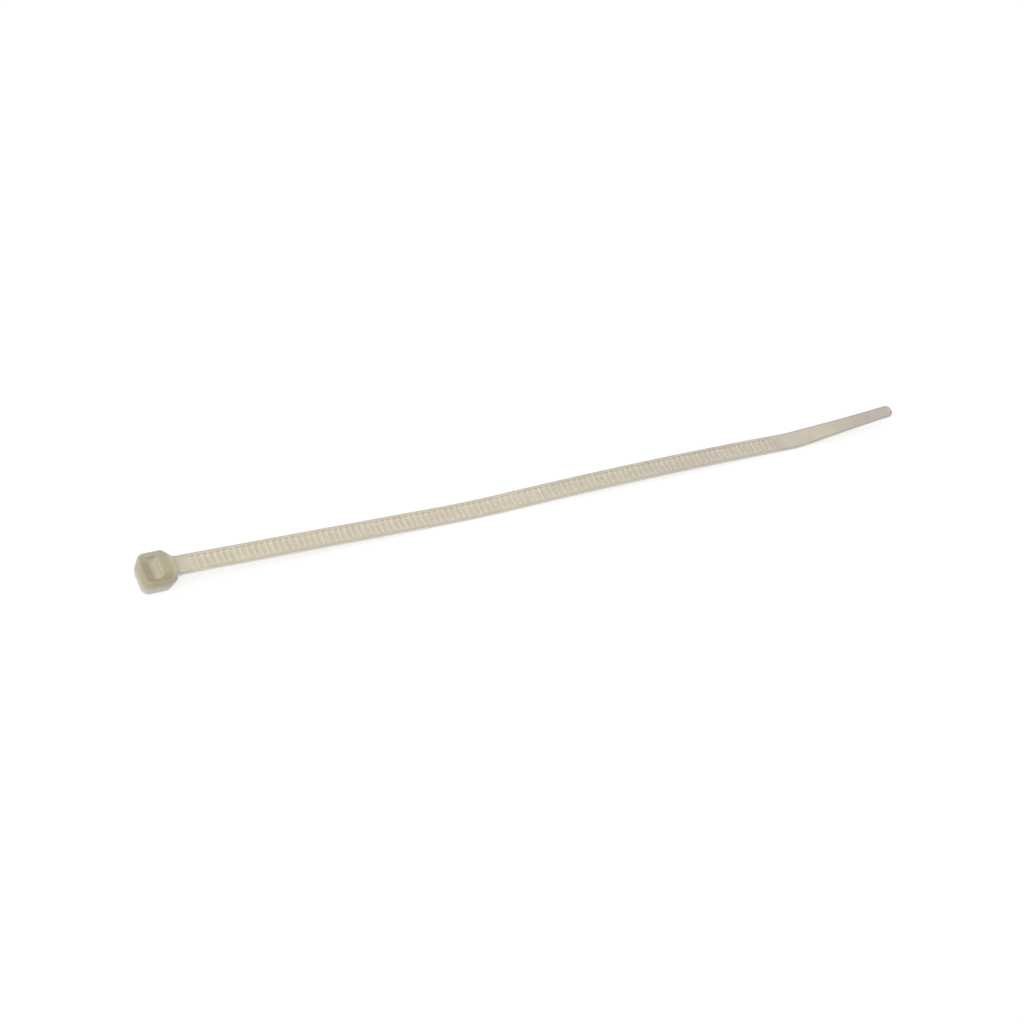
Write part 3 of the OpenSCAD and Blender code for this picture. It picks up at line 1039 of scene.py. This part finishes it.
def block_tone(tree, x, y, side):
    """The block's colour, darkest round the slot and paler at the rims, over the room and on the far side,
    where the paler far side and its paler rims are painted light.
    """
    colours, lip = sizes("tie_colours"), slot_places()["lip"] * MM
    rim_reach, rim_share, lighter_reach, lighter_share = 0.0014, 0.35, 0.004, 0.42
    at_rim = ranged(tree, (-1000, 100), from_outline(tree, x, side), rim_reach, 0.0, 0, rim_share)
    # Painted light: the rims are paler on the far side than on the near side
    painted_side_light = ranged(tree, (-1000, 300), y, -0.003, 0.001, 0.2, 1)
    along_room = ranged(tree, (-1200, -150), x, lip, 0.0018)
    across_room = ranged(tree, (-1200, -400), side, 0.003, 0.0012)
    over_room = product(tree, (-1000, -150), along_room, across_room)
    pale = maths(tree, (-800, 0), "MAXIMUM", product(tree, (-900, 100), at_rim, painted_side_light), over_room)
    tone = mixed(tree, (-700, 200), pale, solid(colours.core), solid(colours.head))
    # Painted light: the far side of the head is paler
    painted_lighter = ranged(tree, (-700, 0), y, 0.0, lighter_reach, 0, lighter_share)
    return mixed(tree, (-600, 200), painted_lighter, tone, solid(colours.block))


def neck_light(tree, x, side, z, lip_share=0.55, neck_share=0.68):
    """Where light comes through the face: on the slot's lip and towards the strap."""
    head = sizes("tie_head")
    lip, half = head.slot_length / 2, head.slot_width / 2
    end = head.length - lip - head.outer_wall
    past_lead = ranged(tree, (-1600, 700), x, lip + head.lead_in - SOFT, lip + head.lead_in)
    over_lip = ranged(tree, (-1600, 900), x, lip + 0.0014, lip + 0.0004, 0, lip_share)
    within = ranged(tree, (-1400, 600), side, half, half - 0.0007)
    on_lip = product(tree, (-1400, 800), over_lip, past_lead, within)
    at_neck = ranged(tree, (-1200, 600), x, end - 0.0026, end - 0.0008, 0, neck_share)
    on_face = ranged(tree, (-1200, 400), z, head.height - 6 * SOFT, head.height - SOFT)
    return product(tree, (-800, 600), maths(tree, (-1000, 700), "MAXIMUM", on_lip, at_neck), on_face)


def slot_mask(tree, x, across, z):
    """1 inside the slot and on its lead-in slopes."""
    head = sizes("tie_head")
    reach = head.slot_length / 2 + head.lead_in
    outer = ranged(tree, (-1400, -500), x, -reach, -reach + 0.4 * SOFT)
    inner = ranged(tree, (-1400, -600), x, reach + SOFT, head.slot_length / 2)
    below = ranged(tree, (-1400, -1000), z, head.height - 0.1 * SOFT, head.height - 1.2 * SOFT)
    return product(tree, (-1200, -700), outer, inner, across, below)


def slot_glow(tree, inside, z, strength=0.42):
    """Light that comes through the slot's walls, stronger further down."""
    height = sizes("tie_head").height
    deeper = ranged(tree, (-1000, -1000), z, height - 0.0002, height - 0.0016, 0, strength)
    return product(tree, (-800, -900), inside, deeper)


def room_glow(tree, x, across, z, strength=0.65):
    """Light in the room behind the pawl, between the exit and the hinge."""
    lip, room, hinge = (slot_places()[name] * MM for name in ("lip", "room", "hinge"))
    past_lip = ranged(tree, (-1200, -1200), x, lip + 0.5 * SOFT, lip + 2 * SOFT, 0, strength)
    before_wall = ranged(tree, (-1200, -1400), x, room + SOFT, room + 0.2 * SOFT)
    below_hinge = ranged(tree, (-1200, -1600), z, hinge + SOFT, hinge - SOFT)
    above_exit = ranged(tree, (-1200, -1800), z, SOFT, 5 * SOFT)
    return product(tree, (-1000, -1300), past_lip, before_wall, below_hinge, above_exit, across)


def head_material():
    """Thick nylon: darkest round the slot, paler towards the rims, with painted light on the far side and the
    lower walls, and lit from inside in the slot.
    """
    head, colours = sizes("tie_head"), sizes("tie_colours")
    amounts = {"Rim amount": 0.0, "Cloud amount": 0.3, "Roughness": 0.5}
    material, look = nylon("Nylon head", 0.0015, colours.block, amounts)
    tree = material.node_tree
    x, y, z = parted(tree, (-2200, 0), object_place(tree, (-2400, 0)))
    side = maths(tree, (-2000, 0), "ABSOLUTE", y)
    block = block_tone(tree, x, y, side)
    face = mixed(tree, (-500, 300), neck_light(tree, x, side, z), block, solid(colours.neck))
    half = head.slot_width / 2
    across = ranged(tree, (-1400, -800), side, half + 2 * SOFT, half + SOFT)
    inside = slot_mask(tree, x, across, z)
    feed(tree, look["Colour"], mixed(tree, (-700, -500), inside, face, solid(colours.slot)))
    # Painted light: the head's upright walls take the paler wall colour more towards the bottom, as lit from
    # the table below
    darkest_wall, palest_wall = 0.0048, 0.0007
    feed(tree, look["Wall amount"], ranged(tree, (-700, 600), z, darkest_wall, palest_wall))
    glow = maths(tree, (-600, -1000), "MAXIMUM", slot_glow(tree, inside, z), room_glow(tree, x, across, z))
    shader = tree.nodes["Principled BSDF"].inputs
    feed(tree, shader["Emission Color"], mixed(tree, (-500, -700), glow, (0, 0, 0, 1), solid(colours.slot)))
    shader["Emission Strength"].default_value = 0.9
    return material


# Tones that are written on the points


def eased(value, low, high):
    """Rises softly from 0 to 1 between two values."""
    share = max(0.0, min(1.0, (value - low) / (high - low)))
    return share * share * (3 - 2 * share)


def mark_tones(piece):
    """Writes three values on each point for the strap's tones.

    rim is the distance in millimetres from the outline's upper edge, over the top or down the side;
    on the round end it holds only the part down the side.
    tone is how pale the nylon is, from 0 for the strap's own colour to 1 for the valleys'; the paler valleys
    are painted light, and a darker stretch from about half way is painted shade where the light falls off.
    plain is 1 where the strap has no teeth.
    """
    strap, lie = sizes("tie_strap"), Lie()
    half, tip = strap.width / MM / 2, strap.tip_width / MM / 2
    thick, thin = strap.thickness / MM, strap.tip_thickness / MM
    ladder, rail_face = ladder_half() + 0.02, ladder_half() + 0.08
    crest, depth = strap.crest_drop / MM, strap.tooth_depth / MM
    first = lie.head_length + strap.ladder_gap / MM
    last = first + tooth_count() * strap.tooth_pitch / MM

    # Each change of tone along the strap, with the places where it starts and ends; the second, darker from
    # about half way, is painted shade where the light falls off along the strap
    usual_tone, changes = 0.33, (
        (-0.07, first - 2, first),
        (-0.17, 0.45 * lie.length, 0.67 * lie.length),
        (0.12, last, last + 2),
        (-0.2, 0.89 * lie.length, 0.96 * lie.length),
    )
    # Painted light: the valleys are paler than the crests, and grow to full strength over the first teeth
    rail_tone, rail_face_tone, crest_tone, valley_painted_light = 0.12, 0.05, -0.02, 0.36
    first_valley, grown = 0.4, first + 15
    no_rim, down_share, top_edge, round_edge = 2.0, 2.5, 0.04, 0.26
    in_head, at_tip, early, late = lie.head_length - 0.3, lie.length - tip + 0.01, 0.4, 0.6

    def teeth_painted_light(along, side, drop):
        if side < rail_face and drop < crest - LEVEL_TOLERANCE:
            return rail_face_tone
        if side >= ladder:
            return rail_tone
        deep = max(0.0, min(1.0, (drop - crest) / depth))
        strength = first_valley + (1 - first_valley) * eased(along, first, grown)
        return valley_painted_light * deep**1.1 * strength + crest_tone

    attributes = piece.data.attributes
    written = {name: attributes.new(name, "FLOAT", "POINT").data for name in ("rim", "tone", "plain")}
    for n, vertex in enumerate(piece.data.vertices):
        along, height = lie.measure(vertex.co.x, vertex.co.z)
        if along < in_head:
            written["rim"][n].value = no_rim
            continue
        share, side = taper_share(along), abs(vertex.co.y)
        drop = thick + (thin - thick) * share - height
        rim = half + (tip - half) * share - side + down_share * max(0.0, drop - top_edge)
        if along > at_tip:
            rim = drop - round_edge
        toothed = eased(along, first - early, first + late) * (1 - eased(along, last - late, last + early))
        tone = usual_tone + sum(change * eased(along, start, end) for change, start, end in changes)
        tone += toothed * (teeth_painted_light(along, side, drop) if height > TOOTHED_SIDE else rail_tone)
        written["rim"][n].value = max(0.0, rim)
        written["tone"][n].value = max(0.0, min(1.0, tone))
        written["plain"][n].value = 1 - toothed


# Stage


def table_material():
    """Plain pale table that is white to the camera and still takes the tie's shadow."""
    material = bpy.data.materials.new("Pale table")
    material.use_nodes = True
    tree = material.node_tree
    shader = tree.nodes["Principled BSDF"].inputs
    shader["Roughness"].default_value = 0.9
    shader["Specular IOR Level"].default_value = 0.1
    table = sizes("tie_colours").table
    seen_share, lifted, lift_starts, lift_ends = 0.38, (0.69, 0.69, 0.69, 1), 0.4, 1.2
    rays = new_node(tree, "ShaderNodeLightPath", (-700, 200)).outputs
    seen = maths(tree, (-500, 200), "MAXIMUM", rays["Is Camera Ray"], rays["Is Glossy Ray"])
    seen = maths(tree, (-300, 200), "MAXIMUM", seen, rays["Is Transmission Ray"])
    darker = solid(seen_share * part for part in table)
    away = new_node(tree, "ShaderNodeVectorMath", (-700, -300), operation="LENGTH")
    feed(tree, away.inputs[0], object_place(tree, (-900, -300)))
    far = ranged(tree, (-500, -300), away.outputs["Value"], lift_starts, lift_ends)
    white = mixed(tree, (-300, -300), far, lifted, (1, 1, 1, 1))
    feed(tree, shader["Base Color"], mixed(tree, (-100, 200), seen, solid(table), darker))
    feed(tree, shader["Emission Color"], mixed(tree, (-100, -100), seen, (0, 0, 0, 1), white))
    shader["Emission Strength"].default_value = 1.0
    return material


def world_light(scene):
    """Even light from all round, and white where the camera sees past the table."""
    world = bpy.data.worlds.new("Even light")
    scene.world = world
    world.use_nodes = True
    tree = world.node_tree
    ground = tree.nodes["Background"].inputs
    ground["Color"].default_value = (1, 1, 1, 1)
    rays = new_node(tree, "ShaderNodeLightPath", (-600, 0)).outputs
    seen = maths(tree, (-400, 0), "MAXIMUM", rays["Is Camera Ray"], rays["Is Transmission Ray"])
    level = new_node(tree, "ShaderNodeMapRange", (-200, 0))
    level.inputs["To Min"].default_value = 0.67
    level.inputs["To Max"].default_value = 1.0
    feed(tree, level.inputs["Value"], seen)
    feed(tree, ground["Strength"], level.outputs["Result"])


def soft_lamp(name, place, size, power):
    """A square lamp that faces the middle of the tie."""
    tie_middle = Vector((0.1, 0, 0))
    data = bpy.data.lights.new(name, "AREA")
    data.size = size
    data.energy = power
    lamp = bpy.data.objects.new(name, data)
    lamp.location = place
    lamp.rotation_mode = "QUATERNION"
    lamp.rotation_quaternion = (Vector(place) - tie_middle).to_track_quat("Z", "Y")
    bpy.context.scene.collection.objects.link(lamp)


def place_camera(scene):
    """The photograph's viewpoint, from above the head's side of the tie and slightly rolled."""
    azimuth, height, roll = math.radians(-135.899), math.radians(49.896), math.radians(25.893)
    distance, focal_pixels, picture_pixels, sensor = 0.484341, 2118.393, 1024, 36
    target = Vector((0.086541, -0.002583, 0))
    level_reach = math.cos(height)
    back = Vector((level_reach * math.cos(azimuth), level_reach * math.sin(azimuth), math.sin(height)))
    level = Vector((0, 0, 1)).cross(back).normalized()
    rise = back.cross(level)
    right = level * math.cos(roll) + rise * math.sin(roll)
    up = rise * math.cos(roll) - level * math.sin(roll)
    half_pixel = 0.5 * distance / focal_pixels
    place = target + back * distance - right * half_pixel + up * half_pixel
    data = bpy.data.cameras.new("view")
    data.sensor_width = sensor
    data.lens = focal_pixels * sensor / picture_pixels
    data.clip_start = 0.01
    data.clip_end = 20
    camera = bpy.data.objects.new("view", data)
    turn = Matrix((right, up, back)).transposed().to_4x4()
    camera.matrix_world = Matrix.Translation(place) @ turn
    scene.collection.objects.link(camera)
    scene.camera = camera


# Operators


class TIE_OT_tie(bpy.types.Operator):
    """Models the whole tie as one moulded piece"""

    bl_idname = "tie.tie"
    bl_label = "Cable tie"

    def execute(self, context):
        thin, thick = strap_material(), head_material()
        strap = model_strap()
        strap.data.materials.append(thin)
        head = model_head()
        cut_slot(head)
        pawl = model_pawl()
        for piece in (head, pawl):
            piece.data.materials.clear()
            piece.data.materials.append(thick)
        boolean(head, strap, "UNION")
        boolean(head, pawl, "UNION")
        head.name = "moulded_tie"
        head.data.name = "moulded_tie"

        # Faces with many corners become triangles here, so that no export can fold them
        edit(head)
        pick(head, "FACE", lambda f: len(f.verts) > 4)
        bpy.ops.mesh.quads_convert_to_tris(quad_method="BEAUTY", ngon_method="BEAUTY")
        leave()
        mark_tones(head)
        head.data.transform(Matrix.Scale(MM, 4))
        choose(head)
        bpy.ops.object.shade_smooth_by_angle(angle=math.radians(38))
        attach(head, "root")
        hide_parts("cable_tie")
        deselect()
        return {"FINISHED"}


class TIE_OT_stage(bpy.types.Operator):
    """Sets the pale table, the soft light and the camera"""

    bl_idname = "tie.stage"
    bl_label = "Table, light and camera"

    def execute(self, context):
        scene = context.scene
        scene.view_settings.view_transform = "Standard"
        deselect()
        bpy.ops.mesh.primitive_plane_add(size=6, location=(0, 0, 0))
        table = context.object
        table.name = "table"
        table.data.materials.append(table_material())
        world_light(scene)
        soft_lamp("key", (-0.6, -0.25, 0.64), 1.0, 6.25)
        soft_lamp("fill", (0.75, 0.3, 0.8), 1.0, 1.2)
        place_camera(scene)
        deselect()
        return {"FINISHED"}


class TIE_PT_panel(bpy.types.Panel):
    """Lists the tie's operators and its settings"""

    bl_label = "Cable Tie"
    bl_idname = "TIE_PT_panel"
    bl_space_type = "VIEW_3D"
    bl_region_type = "UI"
    bl_category = "Cable Tie"

    def draw(self, context):
        layout = self.layout
        for group in GROUPS:
            box = layout.box()
            settings = getattr(context.scene, group)
            for name in settings.bl_rna.properties.keys():
                if name not in ("rna_type", "name"):
                    box.prop(settings, name)
        for operator in (TIE_OT_tie, TIE_OT_stage):
            layout.operator(operator.bl_idname)


GROUPS = {
    "tie_strap": TieStrapSizes,
    "tie_head": TieHeadSizes,
    "tie_lie": TieLie,
    "tie_colours": TieColours,
}
CLASSES = (*GROUPS.values(), TIE_OT_tie, TIE_OT_stage, TIE_PT_panel)


def register():
    """Registers the classes and gives the scene its settings."""
    for one in CLASSES:
        bpy.utils.register_class(one)
    for name, group in GROUPS.items():
        setattr(bpy.types.Scene, name, PointerProperty(type=group))


def unregister():
    """Takes the settings and the classes away again."""
    for name in GROUPS:
        delattr(bpy.types.Scene, name)
    for one in reversed(CLASSES):
        bpy.utils.unregister_class(one)


def main():
    """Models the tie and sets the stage."""
    register()
    bpy.ops.tie.tie()
    bpy.ops.tie.stage()


if __name__ == "__main__":
    main()
